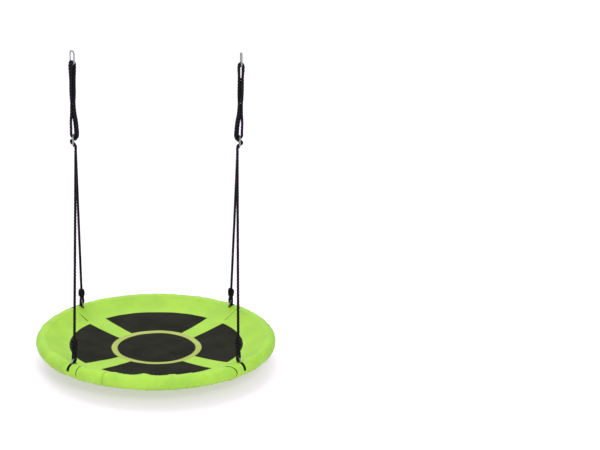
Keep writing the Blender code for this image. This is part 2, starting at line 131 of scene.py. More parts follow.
# Lugs and their slits
LUG_WIRE = 0.0030
LUG_ARCH = 0.0095
LUG_HEIGHT = 0.043
LUG_FOOT = 0.0112
LUG_LEAN = radians(13)
LUG_SHOULDER = 0.022  # a lug's legs are straight up to here
SLIT_START = 8  # degrees round the tube from its outer side
SLIT_END = 126
SLIT_HALF = 0.0038
SLIT_BINDING = 0.0019  # radius of the rolled edge
TAPE_WALL = 0.0006  # half of a seam tape's thickness

# Ropes
ROPE_RADIUS = 0.0059
ROPE_LAY = 0.040  # length of one turn of a strand
STRAND_SHARE = 0.52  # a strand's radius as a share of the rope's
ROPE_SIDES = 27
YARN_LAY = 0.0042  # length of one turn of a yarn round its strand
KNOT_END = 0.088
PIECES_MEET_Z = -0.190  # the rope's pieces meet at this height in the bundle

# Snap hooks
HOOK_WIRE = 0.00325
GATE_RADIUS = 0.00275
TONGUE_SIZE = (0.0020, 0.0050, 0.0080)
SLOT_SIZE = (0.0028, 0.012, 0.0110)
RIVET_REACH = 0.0026  # from the hook's plane to the rivet's heads
RIVET_HEAD = 0.0017
RIVET_PIN = 0.0010
HOOK_LENGTH = 0.062
HOOK_BOW = 0.01425
HOOK_YAW = {"left": radians(35), "right": radians(8)}
HOOK_TOP = HOOK_WIRE
HOOK_BOTTOM = HOOK_TOP - HOOK_LENGTH + 2 * HOOK_WIRE
GATE_PIN_Z = HOOK_BOTTOM + 0.0158

# The picture
CAMERA_PLACE = Vector((-0.0086, -5.9551, 1.1345))
CAMERA_PITCH = radians(17.19)
CAMERA_YAW = radians(5.76)
CAMERA_ROLL = radians(1.77)
CAMERA_LENS = 90.5
FLOOR_Z = -1.320


# ---- scene


def new_object(name, data):
    thing = bpy.data.objects.new(name, data)
    bpy.context.scene.collection.objects.link(thing)
    return thing


def make_camera():
    """The camera looks down by its pitch, to the right by its yaw, and leans left by its roll."""
    data = bpy.data.cameras.new("camera")
    data.lens = CAMERA_LENS
    data.sensor_width = 36
    data.clip_end = 200
    matrix = Matrix.Translation(CAMERA_PLACE)
    for angle, axis in ((-CAMERA_YAW, "Z"), (pi / 2 - CAMERA_PITCH, "X"), (CAMERA_ROLL, "Z")):
        matrix = matrix @ Matrix.Rotation(angle, 4, axis)
    camera = new_object("camera", data)
    camera.matrix_world = matrix
    bpy.context.scene.camera = camera


def make_light(name, kind, place, target, energy, **settings):
    data = bpy.data.lights.new(name, kind)
    data.energy = energy
    for key, value in settings.items():
        setattr(data, key, value)
    light = new_object(name, data)
    light.location = place
    light.rotation_euler = (Vector(target) - Vector(place)).to_track_quat("-Z", "Y").to_euler()


def make_studio():
    """White surroundings, a wide sun that stands for a large soft box, one lamp in front, and the floor."""
    scene = bpy.context.scene
    scene.view_settings.view_transform = "Standard"
    scene.world = bpy.data.worlds.new("studio")
    scene.world.use_nodes = True
    background = scene.world.node_tree.nodes["Background"]
    background.inputs["Color"].default_value = (1, 1, 1, 1)
    background.inputs["Strength"].default_value = 0.82
    make_light("soft_box", "SUN", (-0.15, 0.42, 0.90), (0, 0, 0), 1.25, angle=radians(50))
    make_light("front", "AREA", (0.8, -4.2, 1.6), (0, 0, RIM_Z), 75, shape="DISK", size=1.6)
    form = bmesh.new()
    bmesh.ops.create_circle(form, cap_ends=True, segments=96, radius=60)
    floor = new_object("floor", mesh_of("floor", form))
    floor.location.z = FLOOR_Z
    floor.data.materials.append(floor_material())


# ---- materials


def make_material(name, colour, roughness, **values):
    """The material, its nodes, its shader, and the place on the object for its textures."""
    material = bpy.data.materials.new(name)
    material.use_nodes = True
    tree = material.node_tree
    shader = tree.nodes["Principled BSDF"]
    shader.inputs["Base Color"].default_value = (*colour, 1)
    shader.inputs["Roughness"].default_value = roughness
    for key, value in values.items():
        shader.inputs[key.replace("_", " ")].default_value = value
    return material, tree, shader, add(tree, "TexCoord").outputs["Object"]


def add(tree, kind, inputs=None, **settings):
    """A node with its settings, and with its inputs set or linked."""
    node = tree.nodes.new("ShaderNode" + kind)
    for key, value in settings.items():
        setattr(node, key, value)
    for key, value in (inputs or {}).items():
        if isinstance(value, bpy.types.NodeSocket):
            tree.links.new(value, node.inputs[key])
        else:
            node.inputs[key].default_value = value
    return node


def maths(tree, operation, *values):
    return add(tree, "Math", dict(enumerate(values)), operation=operation).outputs[0]


def roughen(tree, shader, factor, low, high):
    """The roughness goes from low to high as the factor goes from 0 to 1."""
    rough = add(tree, "MapRange", {0: factor, 3: low, 4: high}).outputs[0]
    tree.links.new(rough, shader.inputs["Roughness"])


def tint(tree, shader, factor, dark, light):
    """The colour goes from dark to light as the factor goes from 0 to 1."""
    mix = add(tree, "Mix", {"Factor": factor, "A": (*dark, 1), "B": (*light, 1)}, data_type="RGBA")
    tree.links.new(mix.outputs["Result"], shader.inputs["Base Color"])


def noise_of(tree, place, scale, detail=3, rough=0.55):
    inputs = {"Vector": place, "Scale": scale, "Detail": detail, "Roughness": rough}
    return add(tree, "TexNoise", inputs).outputs[0]


def bump(tree, shader, heights):
    """Chained bumps: (height, distance in metres, strength)."""
    normal = None
    for height, distance, strength in heights:
        node = add(tree, "Bump", {"Height": height, "Distance": distance, "Strength": strength})
        if normal:
            tree.links.new(normal, node.inputs["Normal"])
        normal = node.outputs[0]
    tree.links.new(normal, shader.inputs["Normal"])


def floor_material():
    """White paper that glows a little, as on a light table, so that shadows stay pale."""
    material, tree, shader, place = make_material(
        "studio_floor", (0.62, 0.56, 0.66), 0.9, Emission_Color=(0.97, 0.90, 1, 1), Emission_Strength=0.43
    )
    tint(tree, shader, noise_of(tree, place, 3.0, 2), (0.615, 0.555, 0.655), (0.625, 0.565, 0.665))
    return material


def cloth_coords(tree):
    """The outputs U and V, in metres of cloth."""
    return add(tree, "SeparateXYZ", {0: add(tree, "UVMap", uv_map="cloth").outputs[0]}).outputs


def weave(tree, pitch):
    """(height, where the crossing yarn is on top) of a plain weave, with yarns along U and V."""
    coords = cloth_coords(tree)
    waves = [maths(tree, "SINE", maths(tree, "MULTIPLY", coords[axis], pi / pitch)) for axis in (0, 1)]
    over = maths(tree, "GREATER_THAN", maths(tree, "MULTIPLY", *waves), 0.0)
    warp, weft = [maths(tree, "ABSOLUTE", wave) for wave in waves]
    return add(tree, "Mix", {0: over, 2: weft, 3: warp}).outputs[0], over


def cloth_material(name, dark, light, pitch=0.0011, roughness=0.55, gloss=0.0):
    """Coated woven polyester: a plain weave, uneven dye, fine creases and rubbed high places."""
    material, tree, shader, place = make_material(name, light, roughness, Specular_IOR_Level=gloss)
    height, over = weave(tree, pitch)
    broad = add(tree, "MapRange", {0: noise_of(tree, place, 11.0, 4), 1: 0.36, 2: 0.64}).outputs[0]
    fine = noise_of(tree, place, 160.0, 2)
    share = maths(tree, "ADD", maths(tree, "MULTIPLY", broad, 0.75), maths(tree, "MULTIPLY", over, 0.12))
    tint(tree, shader, maths(tree, "ADD", share, maths(tree, "MULTIPLY", fine, 0.11)), dark, light)
    roughen(tree, shader, broad, roughness - 0.08, roughness + 0.12)
    creases = noise_of(tree, place, 26.0, 5, 0.62)
    bump(tree, shader, [(creases, 0.004, 0.22), (fine, 0.0006, 0.25), (height, 0.0003, 0.55)])
    return material


def rope_material():
    """Black polypropylene: yarns that wind round each strand, with a painted highlight that tints each
    strand's crown paler in specks.
    """
    material, tree, shader, place = make_material(
        "rope_yarn", (0.006, 0.006, 0.0065), 0.6, Specular_IOR_Level=0.03
    )
    along, across, _ = cloth_coords(tree)
    wobble = noise_of(tree, place, 420.0, 2)
    crown = maths(tree, "ABSOLUTE", maths(tree, "SINE", maths(tree, "MULTIPLY", across, 3 * pi)))
    turn = maths(tree, "MULTIPLY", across, 15 * tau)
    turn = maths(tree, "ADD", turn, maths(tree, "MULTIPLY", along, tau / YARN_LAY))
    turn = maths(tree, "ADD", turn, maths(tree, "MULTIPLY", wobble, 2.5))
    yarn = maths(tree, "ABSOLUTE", maths(tree, "SINE", turn))
    speckle = noise_of(tree, place, 60.0, 4)
    # Painted highlight: the yarns on each strand's crown are tinted paler, broken up by the speckle noise
    share = maths(tree, "MULTIPLY", maths(tree, "POWER", crown, 6.0), maths(tree, "MULTIPLY", yarn, speckle))
    tint(tree, shader, share, (0.0025, 0.0025, 0.003), (0.095, 0.095, 0.098))
    roughen(tree, shader, speckle, 0.45, 0.7)
    bump(tree, shader, [(wobble, 0.0003, 0.3), (yarn, 0.00035, 0.7)])
    return material


def steel_material(name, colour, roughness, scratches):
    """Zinc-plated wire: fine drawn scratches, duller spots and a slightly uneven colour."""
    material, tree, shader, place = make_material(name, colour, roughness, Metallic=1.0)
    spots = noise_of(tree, place, 240.0, 4)
    stretched = add(tree, "Mapping", {"Vector": place, "Scale": (1, 1, 0.08)}).outputs[0]
    drawn = noise_of(tree, stretched, 1600.0, 2)
    tint(tree, shader, spots, [0.82 * c for c in colour], colour)
    roughen(tree, shader, spots, roughness - 0.06, roughness + 0.16)
    bump(tree, shader, [(spots, 0.0004, 0.15), (drawn, 0.0002, scratches)])
    return material


def foam_material():
    """Closed-cell foam, with its small pores, each tinted darker towards its middle as painted shade in its
    pit.
    """
    material, tree, shader, place = make_material("sleeve_foam", (0.055, 0.055, 0.060), 0.95)
    cells = add(tree, "TexVoronoi", {"Vector": place, "Scale": 900.0}).outputs["Distance"]
    # Painted shade: the colour darkens into each pore's pit
    tint(tree, shader, cells, (0.030, 0.030, 0.034), (0.075, 0.075, 0.082))
    bump(tree, shader, [(cells, 0.0005, 0.6)])
    return material


def thread_material(name, colour):
    material, tree, shader, place = make_material(name, colour, 0.5, Sheen_Weight=0.3)
    twist = noise_of(tree, place, 2500.0, 2)
    tint(tree, shader, twist, [0.7 * c for c in colour], colour)
    bump(tree, shader, [(twist, 0.0002, 0.5)])
    return material


# ---- meshes


def form_of(*meshes):
    form = bmesh.new()
    for mesh in meshes:
        form.from_mesh(mesh)
    return form


def written(form, mesh):
    form.to_mesh(mesh)
    form.free()
    return mesh


def mesh_of(name, form):
    return written(form, bpy.data.meshes.new(name))


def add_piece(name, mesh, material):
    piece = new_object(name, mesh)
    mesh.materials.clear()
    mesh.materials.append(material)
    mesh.shade_smooth()
    return piece


def grid_faces(height, width, closed_rows=False, closed_columns=False, caps=False):
    """A grid's faces, as lists of (row, column), which run on past the last one where the grid closes."""
    faces = []
    for i in range(height if closed_rows else height - 1):
        for j in range(width if closed_columns else width - 1):
            faces.append([(i, j), (i, j + 1), (i + 1, j + 1), (i + 1, j)])
    if caps:
        faces.append([(0, j) for j in reversed(range(width))])
        faces.append([(height - 1, j) for j in range(width)])
    return faces


def grid_mesh(name, rows, uvs=lambda i, j: (0, 0), **closing):
    """A mesh through rows of points, with UVs from each point's row and column."""
    height, width = len(rows), len(rows[0])
    faces = grid_faces(height, width, **closing)
    places = [[(i % height) * width + j % width for i, j in face] for face in faces]
    mesh = bpy.data.meshes.new(name)
    mesh.from_pydata([point for row in rows for point in row], [], places)
    layer = mesh.uv_layers.new(name="cloth")
    layer.data.foreach_set("uv", [value for face in faces for corner in face for value in uvs(*corner)])
    mesh.validate()
    return mesh


def turned_out(mesh):
    """Turns a closed mesh's faces outwards."""
    form = form_of(mesh)
    bmesh.ops.recalc_face_normals(form, faces=form.faces)
    return written(form, mesh)


def joined(name, meshes):
    form = form_of(*meshes)
    for mesh in meshes:
        bpy.data.meshes.remove(mesh)
    return mesh_of(name, form)


def applied(piece):
    """The piece with its modifiers applied."""
    graph = bpy.context.evaluated_depsgraph_get()
    mesh = bpy.data.meshes.new_from_object(piece.evaluated_get(graph))
    piece.modifiers.clear()
    old, piece.data = piece.data, mesh
    bpy.data.meshes.remove(old)
    return piece


# ---- paths


def through(points, spacing):
    """Evenly spaced points on a centripetal Catmull-Rom curve through the points."""
    points = [Vector(point) for point in points]
    ends = (2 * points[0] - points[1], 2 * points[-1] - points[-2])
    points = [ends[0], *points, ends[1]]
    fine = []
    for a, b, c, d in zip(points, points[1:], points[2:], points[3:]):
        k1 = sqrt((b - a).length)
        k2 = k1 + sqrt((c - b).length)
        k3 = k2 + sqrt((d - c).length)
        steps = max(2, ceil((c - b).length / spacing * 3))
        for step in range(steps):
            t = k1 + (k2 - k1) * step / steps
            p = a.lerp(b, t / k1)
            q = b.lerp(c, (t - k1) / (k2 - k1))
            r = c.lerp(d, (t - k2) / (k3 - k2))
            p, q = p.lerp(q, t / k2), q.lerp(r, (t - k1) / (k3 - k1))
            fine.append(p.lerp(q, (t - k1) / (k2 - k1)))
    fine.append(points[-2])
    return evenly(fine, spacing)


def at_distances(path, distances):
    """(point, index of its stretch) at each of these rising distances along a polyline."""
    result, walked, index = [], 0.0, 0
    for wanted in distances:
        while index < len(path) - 2 and walked + (path[index + 1] - path[index]).length < wanted:
            walked += (path[index + 1] - path[index]).length
            index += 1
        stretch = (path[index + 1] - path[index]).length
        result.append((path[index].lerp(path[index + 1], (wanted - walked) / stretch), index))
    return result


def evenly(fine, spacing):
    """Points at one spacing along a fine polyline, both ends included."""
    total = length_of(fine)
    count = max(2, round(total / spacing))
    between = at_distances(fine, [total * k / count for k in range(1, count)])
    return [fine[0], *[point for point, _ in between], fine[-1]]


def length_of(path):
    return sum((b - a).length for a, b in zip(path, path[1:]))


def arc(radius, start, end, steps, rise=0.0):
    """Points of an arc in a plane, angles in degrees, round a middle at this height."""
    angles = [radians(start + (end - start) * k / steps) for k in range(steps + 1)]
    return [(radius * cos(a), rise + radius * sin(a)) for a in angles]


def frames_along(path, closed=False):
    """(along, across, up) at each point, turning as little as possible from one to the next."""
    count = len(path)
    result = []
    across = None
    for i, point in enumerate(path):
        before = path[i - 1] if i or closed else point
        after = path[(i + 1) % count] if i < count - 1 or closed else point
        along = (after - before).normalized()
        across = across or along.orthogonal().normalized()
        across = (across - along * across.dot(along)).normalized()
        result.append((along, across, along.cross(across)))
    if closed:
        along, across, up = result[0]
        last = result[-1][1]
        last = (last - along * last.dot(along)).normalized()
        twist = atan2(last.dot(up), last.dot(across))
        for i, (along, across, up) in enumerate(result):
            turn = -twist * i / count
            result[i] = (along, cos(turn) * across + sin(turn) * up, cos(turn) * up - sin(turn) * across)
    return result


def sweep(name, path, section, closed=False, frames=None):
    """A tube along the path. section(distance) gives its outline's points across and up."""
    frames = frames or frames_along(path, closed)
    rows, distances, walked = [], [], 0.0
    for i, (point, (_, across, up)) in enumerate(zip(path, frames)):
        if i:
            walked += (point - path[i - 1]).length
        distances.append(walked)
        rows.append([point + across * x + up * y for x, y in section(walked)])
    distances.append(walked + (path[0] - path[-1]).length)
    sides = len(rows[0])

    def uvs(i, j):
        return distances[i], j / sides

    return turned_out(grid_mesh(name, rows, uvs, closed_rows=closed, closed_columns=True, caps=not closed))


def oval_section(width, height, sides):
    """An oval outline, from half of its width and half of its height."""
    outline = [(width * x, height * y) for x, y in arc(1, 0, 360, sides)[:-1]]
    return lambda distance: outline


def scaled(outline, share):
    return [(share * x, share * y) for x, y in outline]


def drawn_in(section, total, least, span, both_ends=True):
    """The section of a piece this long, drawn in to its least share over a short span at its ends."""

    def outline(distance):
        left = max(0.0, min(distance, total - distance) if both_ends else total - distance)
        close = min(1.0, least + (1 - least) * sqrt(left / span))
        return scaled(section(distance), close)

    return outline


# ---- ropes


def laid_section(start=0.0):
    """The outline of a three-strand rope, whose points turn with the strands, once in each lay."""
    strand = STRAND_SHARE * ROPE_RADIUS
    offset = ROPE_RADIUS - strand
    spots = []
    for k in range(ROPE_SIDES):
        angle = tau * k / ROPE_SIDES
        local = angle % (tau / 3) - tau / 6
        spots.append((angle, offset * cos(local) + sqrt(strand**2 - (offset * sin(local)) ** 2)))

    def outline(distance):
        turn = tau * (start + distance) / ROPE_LAY
        return [(reach * cos(angle + turn), reach * sin(angle + turn)) for angle, reach in spots]

    return outline


# Each strand's route above the adjuster ring, at these heights: outwards from the ring's plane, rearwards
STRAND_HEIGHTS = (-0.118, -0.165, -0.215, -0.250, -0.283, -0.316)
STRAND_ROUTES = {
    ("inner", "front"): (
        (-0.0080, -0.0055), (-0.0080, -0.0055), (-0.0056, -0.0058),
        (-0.0062, -0.0058), (-0.0115, -0.0055), (-0.0170, -0.0053),
    ),
    ("outer", "front"): (
        (0.0040, -0.0060), (0.0040, -0.0060), (0.0052, -0.0058),
        (0.0062, -0.0050), (0.0085, -0.0025), (0.0083, 0),
    ),
    ("outer", "rear"): (
        (0.0080, 0.0055), (0.0080, 0.0055), (0.0050, 0.0060),
        (0.0010, 0.0062), (-0.0050, 0.0040), (-0.0083, 0),
    ),
    ("inner", "rear"): (
        (-0.0040, 0.0060), (-0.0040, 0.0060), (-0.0058, 0.0060),
        (-0.0085, 0.0075), (-0.0140, 0.0070), (-0.0170, 0.0053),
    ),
}

# The weave through the ring: distance outwards from its plane, height above its middle
HITCH_ROUTE = (
    (-0.0085, -0.0425), (-0.0090, -0.0300), (-0.0066, -0.0190), (0.0020, -0.0115), (0.0092, -0.0050),
    (0.0060, 0.0005), (-0.0010, 0.0040), (-0.0100, 0.0085), (-0.0165, 0.0170), (-0.0180, 0.0290),
)
HITCH_SIDE = 0.0053
BIGHT_OUT = 0.0086
BIGHT_SIDE = 0.00495
BIGHT_RISE = 0.0118
LEG_OUT = 0.0083
LEG_DROP = 0.0090
RING_CROWN = 0.0245


def hook_frame(side):
    """Local X across the hook's plane, Y in it, Z up, on the hang line."""
    place = Vector((SIDES[side] * HANG_REACH, 0, 0))
    return Matrix.Translation(place) @ Matrix.Rotation(HOOK_YAW[side], 4, "Z")


def knot_frame(side, end):
    """Local Z up the rope from the lug's crown, X along the rim."""
    sign, way = SIDES[side], ENDS[end]
    lug = Vector((sign * LUG_REACH, way * LUG_REACH, LUG_Z))
    along = (Vector((sign * LUG_REACH, way * HITCH_SIDE, SWAY_Z)) - lug).normalized()
    aside = Vector((sign, way, 0)).normalized().cross(along).normalized()
    matrix = Matrix((aside, along.cross(aside), along)).transposed().to_4x4()
    matrix.translation = lug
    return matrix


def half_route(side, end):
    """Half of a side's rope, from a knot up through the ring and over the hook, down to the ring's bight."""
    sign, way = SIDES[side], ENDS[end]
    low = knot_frame(side, end) @ Vector((0, 0, KNOT_END - 0.022))
    high = Vector((sign * LUG_REACH, way * HITCH_SIDE, SWAY_Z - 0.006))

    def strand(row):
        spots = zip(STRAND_ROUTES[row, end], STRAND_HEIGHTS)
        return [(sign * (HANG_REACH + out), y, z) for (out, y), z in spots]

    route = [low.lerp(high, share) for share in (0, 0.03, 0.5, 0.95, 0.985)]
    route += [(sign * (HANG_REACH + out), way * HITCH_SIDE, RING_Z + rise) for out, rise in HITCH_ROUTE]
    route += reversed(strand("inner"))
    over = [(x, HOOK_BOTTOM + z * BIGHT_RISE / BIGHT_OUT) for x, z in arc(BIGHT_OUT, 180, 0, 8)]
    over = [(-BIGHT_OUT, SWING_Z - 0.005), *over, (BIGHT_OUT, SWING_Z - 0.005)]
    matrix = hook_frame(side)
    route += [matrix @ Vector((sign * x, way * BIGHT_SIDE, z)) for x, z in over]
    return route + strand("outer")


def side_path(side):
    """One side's whole rope, from the front knot to the rear knot."""
    sign = SIDES[side]
    crown = RING_Z + RING_CROWN
    turn = [(x, crown + z * LEG_DROP / LEG_OUT) for x, z in arc(LEG_OUT, 0, -180, 8)]
    bight = [Vector((sign * (HANG_REACH + x), 0, z)) for x, z in turn]
    return through([*half_route(side, "front"), *bight, *reversed(half_route(side, "rear"))], 0.002)


def crossing(path, start, height):
    """The first place after start where the path passes this height."""
    low = [point.z < height for point in path]
    return next(i for i in range(start + 1, len(path)) if low[i - 1] != low[i])


def make_side_ropes(side, material):
    """One side's rope, in pieces that meet inside a straight run."""
    path = side_path(side)
    frames = frames_along(path)
    cuts = [0]
    for height in (RING_Z, *[PIECES_MEET_Z] * 4, RING_Z):
        cuts.append(crossing(path, cuts[-1], height))
    cuts.append(len(path) - 1)

    def half(end):
        return [
            (f"{end}_{side}_lower_rope", "sway", [f"{end}_{side}_rope"]),
            (f"{side}_{end}_weave_rope", "pitch", [f"{side}_{end}_hitch", f"{side}_inner_{end}_strand"]),
            (f"{side}_{end}_hook_rope", "swing", [f"{side}_{end}_bight"]),
        ]

    ring = [f"{side}_ring_bight", f"{side}_outer_front_strand", f"{side}_outer_rear_strand"]
    plan = [*half("front"), (f"{side}_ring_rope", "pitch", ring), *reversed(half("rear"))]
    walked = 0.0
    for (name, where, nodes), start, stop in zip(plan, cuts, cuts[1:]):
        part = path[start : stop + 1]
        mesh = sweep(name, part, laid_section(walked), frames=frames[start : stop + 1])
        length = length_of(part)
        walked += length
        piece = add_piece(name, mesh, material)
        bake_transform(piece)
        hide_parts(*nodes)


# A knot, from inside its barrel down round the lug and back: distance along the rim, across, up the rope
EYE_ROUTE = (
    (0.0030, 0.0020, 0.0640), (0.0042, 0.0015, 0.0500), (0.0050, 0.0008, 0.0400),
    (0.0060, 0, 0.0290), (0.0074, 0, 0.0180), (0.0079, 0, 0.0080),
    (0.0074, 0, 0.0005), (0.0045, 0, -0.0064), (0, 0, -0.0088),
    (-0.0045, 0, -0.0064), (-0.0074, 0, 0.0005), (-0.0079, 0, 0.0080),
    (-0.0074, 0, 0.0180), (-0.0058, -0.0005, 0.0290), (-0.0052, -0.0020, 0.0370),
)
WRAP_TURNS = 3.2
WRAP_RADIUS = 0.0078
WRAP_SWELL = 0.0014
WRAP_START = 0.0430
WRAP_RISE = 0.0100
WRAP_STEPS = 12
WRAP_TILT = 0.0022
WRAP_UNEVEN = 0.0004
WRAP_FIRST = pi + 0.35  # the angle of the first turn's start
TAIL_ROUTE = ((0.0072, 0.0050), (0.0076, 0.0100))  # from the rope's middle, above the last turn


def make_knot(side, end, material):
    """A noose knot: an eye round the lug, then turns round the rope, and a short tail tucked against it."""
    name = f"{end}_{side}_noose"
    matrix = knot_frame(side, end)
    phase = {"front": 0.0, "rear": 1.9}[end] + {"left": 0.0, "right": 0.8}[side]
    route = [Vector(point) for point in EYE_ROUTE]
    count = round(WRAP_TURNS * WRAP_STEPS)
    for k in range(count + 1):
        turns = k / WRAP_STEPS
        angle = WRAP_FIRST + tau * turns
        radius = WRAP_RADIUS + WRAP_SWELL * sin(pi * k / count)
        radius += WRAP_UNEVEN * sin(2.3 * turns * tau + phase)
        rise = WRAP_START + WRAP_RISE * turns + WRAP_TILT * sin(angle + phase)
        route.append(Vector((radius * cos(angle), radius * sin(angle), rise)))
    last = route[-1]
    back = Vector((last.x, last.y, 0)).normalized()
    route += [back * reach + Vector((0, 0, last.z + rise)) for reach, rise in TAIL_ROUTE]
    path = [matrix @ point for point in through(route, 0.0018)]
    section = drawn_in(laid_section(0.013 * phase), length_of(path), 0.40, 0.006, both_ends=False)
    piece = add_piece(name, sweep(name, path, section), material)
    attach(piece, f"{side}_ropes")
    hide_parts(f"{end}_{side}_knot")


# ---- steel


def make_ring(side, material):
    """The welded adjuster ring, with the weld's bead at its lowest point."""
    name = f"{side}_ring"
    low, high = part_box(f"{side}_adjuster_ring")
    wire = (high.x - low.x) / 2
    radius = (high.z - low.z) / 2 - wire
    middle = (low + high) / 2
    path = [middle + Vector((0, y, z)) for y, z in arc(radius, 0, 360, 96)[:-1]]
    bead = -pi / 2 * radius % (tau * radius)

    def outline(distance):
        return scaled(arc(wire, 0, 360, 20)[:-1], 1 + 0.09 * bell(distance - bead, 0.0022))

    piece = add_piece(name, sweep(name, path, outline, closed=True), material)
    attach(piece, "adjusters")
    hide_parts(f"{side}_adjuster_ring")


def lug_frame(angle):
    """Local X outwards from the seat's middle, Y along the rim, Z up, at the tube's middle."""
    return Matrix.Translation(polar(RIM_RADIUS, angle, RIM_Z)) @ Matrix.Rotation(radians(angle), 4, "Z")


def make_lug(corner, material):
    name = f"{corner}_wire_lug"
    matrix = lug_frame(CORNERS[corner]) @ Matrix.Rotation(-LUG_LEAN, 4, "Y")
    outline = [(-LUG_ARCH, LUG_FOOT), (-LUG_ARCH, LUG_SHOULDER)]
    outline += arc(LUG_ARCH, 180, 0, 20, LUG_HEIGHT - LUG_ARCH)
    outline += [(LUG_ARCH, LUG_SHOULDER), (LUG_ARCH, LUG_FOOT)]
    path = through([matrix @ Vector((x, 0, z)) for x, z in outline], 0.0015)
    piece = add_piece(name, sweep(name, path, oval_section(LUG_WIRE, LUG_WIRE, 20)), material)
    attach(piece, "seat")
    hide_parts(f"{corner}_lug")


def block(name, size, place, bevel=0.0):
    form = bmesh.new()
    bmesh.ops.create_cube(form, size=1)
    bmesh.ops.scale(form, vec=size, verts=form.verts)
    if bevel:
        bmesh.ops.bevel(form, geom=form.edges[:], offset=bevel, segments=3, affect="EDGES")
    bmesh.ops.translate(form, vec=place, verts=form.verts)
    return mesh_of(name, form)


def make_snap_hook(side, material):
    """The hook's bent wire, whose ends are the flat tongue in the gate's slot and the nose."""
    outline = arc(HOOK_BOW, -10, -180, 28, HOOK_BOTTOM + HOOK_BOW)
    outline += arc(HOOK_BOW, 180, 0, 32, HOOK_TOP - HOOK_BOW)
    outline[0] = (HOOK_BOW, GATE_PIN_Z - 0.0042)
    path = evenly([Vector((0, y, z)) for y, z in outline], 0.0015)
    section = drawn_in(oval_section(HOOK_WIRE, HOOK_WIRE, 24), length_of(path), 0.72, 0.0016)
    name = f"{side}_snap_hook"
    tongue = block("tongue", TONGUE_SIZE, (0, HOOK_BOW, GATE_PIN_Z - 0.0018), bevel=0.0006)
    piece = add_piece(name, joined(name, [sweep(name, path, section), tongue]), material)
    piece.data.transform(hook_frame(side))
    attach(piece, "hangers")
    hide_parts(f"{side}_hook")


def make_gate(side, material):
    """The gate, slotted where it straddles the tongue, with a groove round it near its free end."""
    name = f"{side}_spring_gate"
    low = GATE_PIN_Z - 0.0026
    high = HOOK_TOP - HOOK_BOW - 0.0010
    path = evenly([Vector((0, HOOK_BOW, low)), Vector((0, HOOK_BOW, high))], 0.0008)

    def grooved(distance):
        waist = 1 - 0.10 * bell(high - low - distance - 0.0042, 0.0009)
        return scaled(arc(GATE_RADIUS, 0, 360, 24)[:-1], waist)

    gate = add_piece(name, sweep(name, path, drawn_in(grooved, high - low, 0.80, 0.0010)), material)
    cutter = new_object("slot", block("slot", SLOT_SIZE, (0, HOOK_BOW, low + 0.0016)))
    cut = gate.modifiers.new("slot", "BOOLEAN")
    cut.operation = "DIFFERENCE"
    cut.object = cutter
    applied(gate)
    bpy.data.objects.remove(cutter)
    gate.data.transform(hook_frame(side))
    gate.data.set_sharp_from_angle(angle=radians(35))
    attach(gate, f"{side}_gate")
    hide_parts(f"{side}_gate")


def make_rivet(side, material):
    """The gate's pin, with its two heads."""
    name = f"{side}_gate_rivet"
    parts = []
    for x in (-RIVET_REACH, RIVET_REACH):
        form = bmesh.new()
        bmesh.ops.create_uvsphere(form, u_segments=20, v_segments=10, radius=RIVET_HEAD)
        bmesh.ops.scale(form, vec=(0.45, 1, 1), verts=form.verts)
        bmesh.ops.translate(form, vec=(x, HOOK_BOW, GATE_PIN_Z), verts=form.verts)
        parts.append(mesh_of("head", form))
    path = evenly([Vector((x, HOOK_BOW, GATE_PIN_Z)) for x in (-RIVET_REACH, RIVET_REACH)], 0.001)
    parts.append(sweep("shank", path, oval_section(RIVET_PIN, RIVET_PIN, 16)))
    rivet = add_piece(name, joined(name, parts), material)
    rivet.data.transform(hook_frame(side))
    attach(rivet, "hangers")
    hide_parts(f"{side}_gate_pin")


# ---- rim cover


# Puffed places on the front of the rim: angle, turn round the tube, half width in degrees, height
PUFFS = (
    (264, 92, 3.6, 0.0070), (250, 95, 3.2, 0.0035), (277.5, 95, 2.6, 0.0045), (286, 95, 2.4, 0.0028),
    (270.5, 40, 3.0, 0.0030), (283, 25, 2.6, 0.0034), (277, -5, 2.2, 0.0026), (292, 30, 3.0, 0.0024),
)
FOLD = 244.5  # a sewn fold across the rim, beside the front left lug
TIGHT_PLACE = (248, -60)  # here the cover lies close to its foam: angle, turn


def bell(distance, width):
    return exp(-((distance / width) ** 2))


def apart(a, b):
    """The difference of two angles in degrees, from -180 to 180."""
    return (a - b + 180) % 360 - 180


def smooth(share):
    share = min(1.0, max(0.0, share))
    return share * share * (3 - 2 * share)


def polar(reach, angle, z=0.0):
    """The point at this distance from the seat's axis, angle round it in degrees, and height."""
    a = radians(angle)
    return Vector((reach * cos(a), reach * sin(a), z))


def on_tube(radius, angle, turn, z=RIM_Z):
    """The point at this distance from the rim's middle line, at this angle and this turn round the tube."""
    b = radians(turn)
    return polar(RIM_RADIUS + radius * cos(b), angle, z + radius * sin(b))


def rim_normal(angle, turn):
    b = radians(turn)
    return polar(cos(b), angle, sin(b))


def along_rim(angle, centre, reach=RIM_RADIUS):
    """The way from one angle to another in metres, at this distance from the seat's axis."""
    return radians(apart(angle, centre)) * reach


def noise_at(angle, turn, size, stretch, shift):
    """Noise on the rim's cover: size is that of its lumps, and stretch draws them out round the tube."""
    place = on_tube(COVER_RADIUS / stretch, angle, turn, 0)
    return noise.noise(place / size + Vector((shift, 2 * shift, 0.5 * shift)))


def seam_angle(edge, turn):
    """Where a seam lies on the tube: one that leans runs further forward on its inner side."""
    return SEAMS[edge] - SEAM_LEANS[edge] * (1 - cos(radians(turn)))


def skewed(angle, turn):
    """The angle, drawn along beside a leaning seam so that the sleeve's sections meet on it."""
    for edge, seam in SEAMS.items():
        gap = apart(angle, seam)
        share = smooth((gap + 12) / 12) if gap < 0 else 1 - smooth(gap / 4)
        angle += (seam_angle(edge, turn) - seam) * share
    return angle


